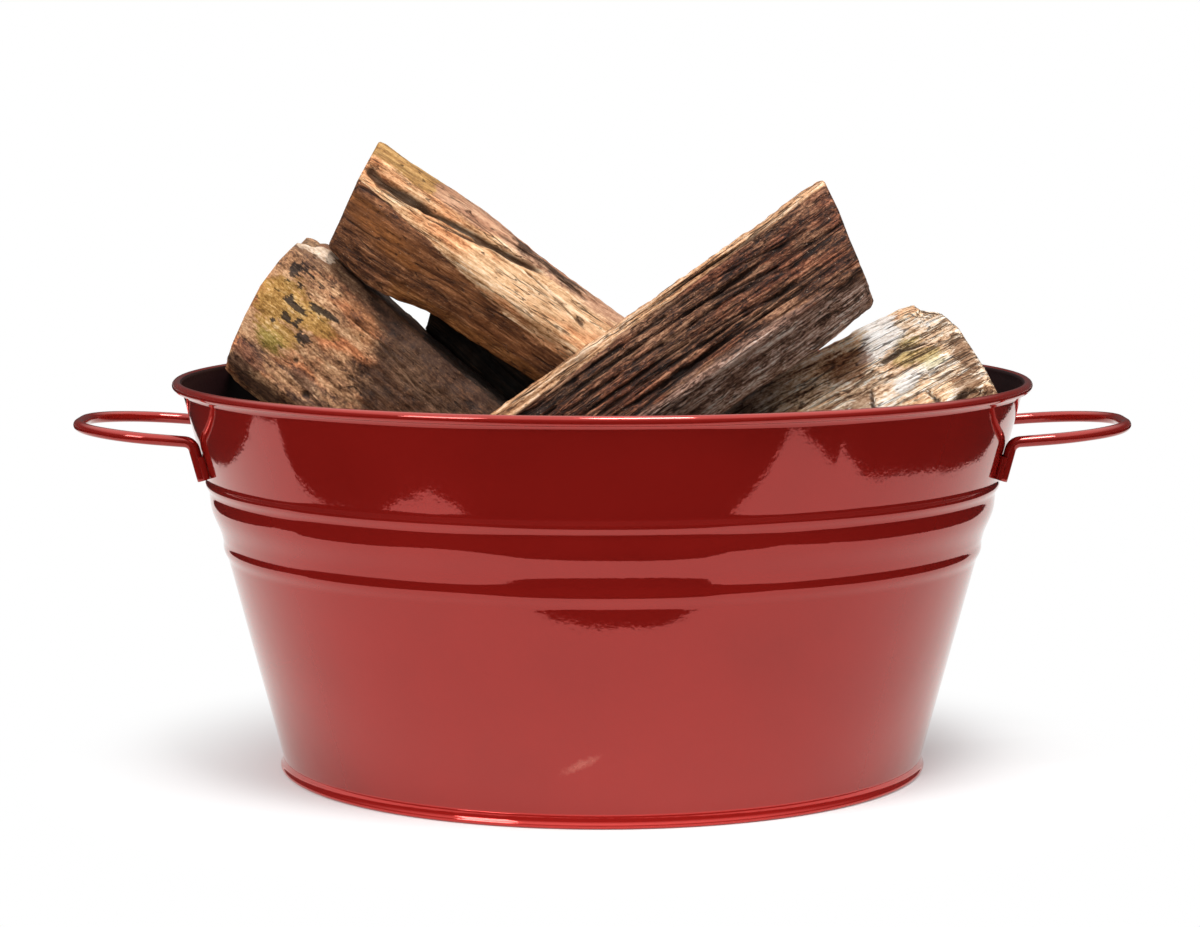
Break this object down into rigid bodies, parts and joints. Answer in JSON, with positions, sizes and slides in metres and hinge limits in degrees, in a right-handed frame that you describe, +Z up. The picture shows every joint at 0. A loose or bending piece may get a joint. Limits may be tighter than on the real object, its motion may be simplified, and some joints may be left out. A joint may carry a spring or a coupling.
{
  "type": "kindling tub",
  "caption": "Round tapered sheet steel tub with two pressed ribs, a rolled rim and bent rod handles, holding split logs for a stove.",
  "frame": {"origin": "on the floor under the middle of the tub", "axes": "+Z up, +X through the middles of both handles, -Y towards the front"},
  "size_m": [0.5554, 0.4506, 0.3315],
  "materials": {
    "enamel_red": "high gloss red enamel",
    "enamel_dark": "satin near-black maroon enamel",
    "wire_steel": "plain drawn wire",
    "wood_brown": "dark weathered, deeply grooved",
    "wood_straw": "pale weathered with white, yellow and rust patches",
    "wood_olive": "brown with olive lichen and charcoal spots",
    "wood_tan": "light tan, split, with darker underside",
    "wood_black": "charred, nearly black"
  },
  "bodies": {
    "tub": {"tub_wall": "enamel_red", "rim_wire": "wire_steel", "bottom_pan": "enamel_red", "left_handle": "enamel_red", "right_handle": "enamel_red", "left_handle_welds": "enamel_red", "right_handle_welds": "enamel_red"},
    "right_log": {"right_log": "wood_straw"},
    "front_log": {"front_log": "wood_brown"},
    "left_log": {"left_log": "wood_olive"},
    "upper_log": {"upper_log": "wood_tan"},
    "inner_log": {"inner_log": "wood_black"}
  },
  "joints": [
    {"name": "right_log_lift", "type": "slide", "parent": "tub", "child": "right_log", "axis": [0, 0, 1], "range_m": [0, 0.3]},
    {"name": "front_log_lift", "type": "slide", "parent": "right_log", "child": "front_log", "axis": [0, 0, 1], "range_m": [0, 0.3]},
    {"name": "left_log_lift", "type": "slide", "parent": "tub", "child": "left_log", "axis": [0, 0, 1], "range_m": [0, 0.3]},
    {"name": "upper_log_lift", "type": "slide", "parent": "left_log", "child": "upper_log", "axis": [0, 0, 1], "range_m": [0, 0.3]},
    {"name": "inner_log_lift", "type": "slide", "parent": "left_log", "child": "inner_log", "axis": [0, 0, 1], "range_m": [0, 0.3]}
  ]
}
